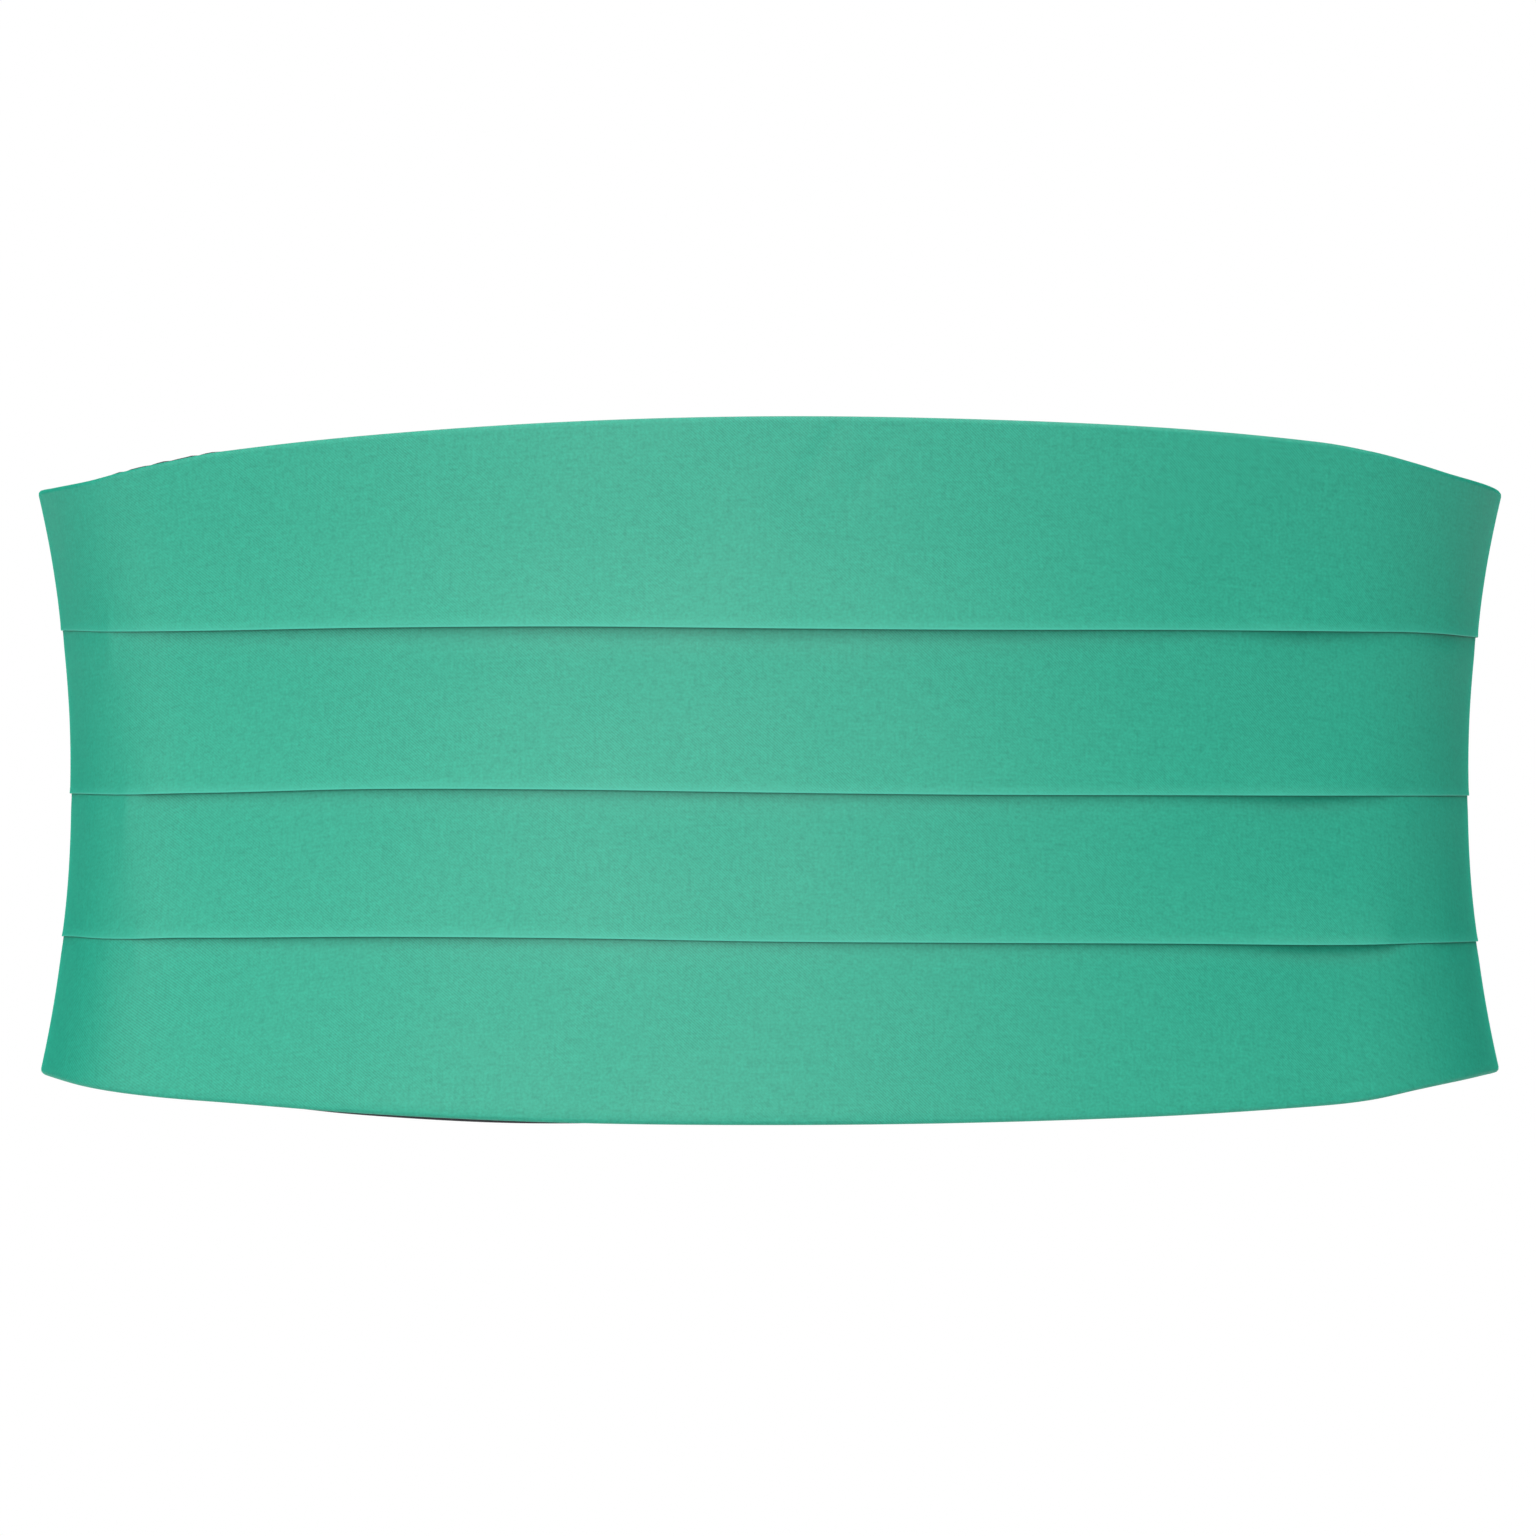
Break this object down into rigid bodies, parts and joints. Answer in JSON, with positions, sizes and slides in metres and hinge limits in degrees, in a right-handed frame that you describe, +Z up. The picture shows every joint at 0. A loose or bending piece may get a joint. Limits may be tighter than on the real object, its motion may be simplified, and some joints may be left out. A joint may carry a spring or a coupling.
{
  "type": "pleated cummerbund",
  "caption": "Pleated satin waist sash with a curved front panel, a dark lining and back straps joined by a plain clasp.",
  "frame": {"origin": "middle of the waist opening, at mid height of the front", "axes": "+Z up as worn, -Y out of the front, +X to the right seen from the front"},
  "size_m": [0.2807, 0.1889, 0.133],
  "materials": {
    "satin": "sea green satin with a soft sheen and a fine diagonal weave",
    "lining_cloth": "plain near-black lining cloth",
    "webbing": "ribbed near-black webbing",
    "clasp_metal": "plain plated metal"
  },
  "bodies": {
    "root": {"pleated_front": "satin", "lining": "lining_cloth", "strap_left": "webbing", "strap_right": "webbing", "clasp": "clasp_metal"}
  },
  "joints": []
}
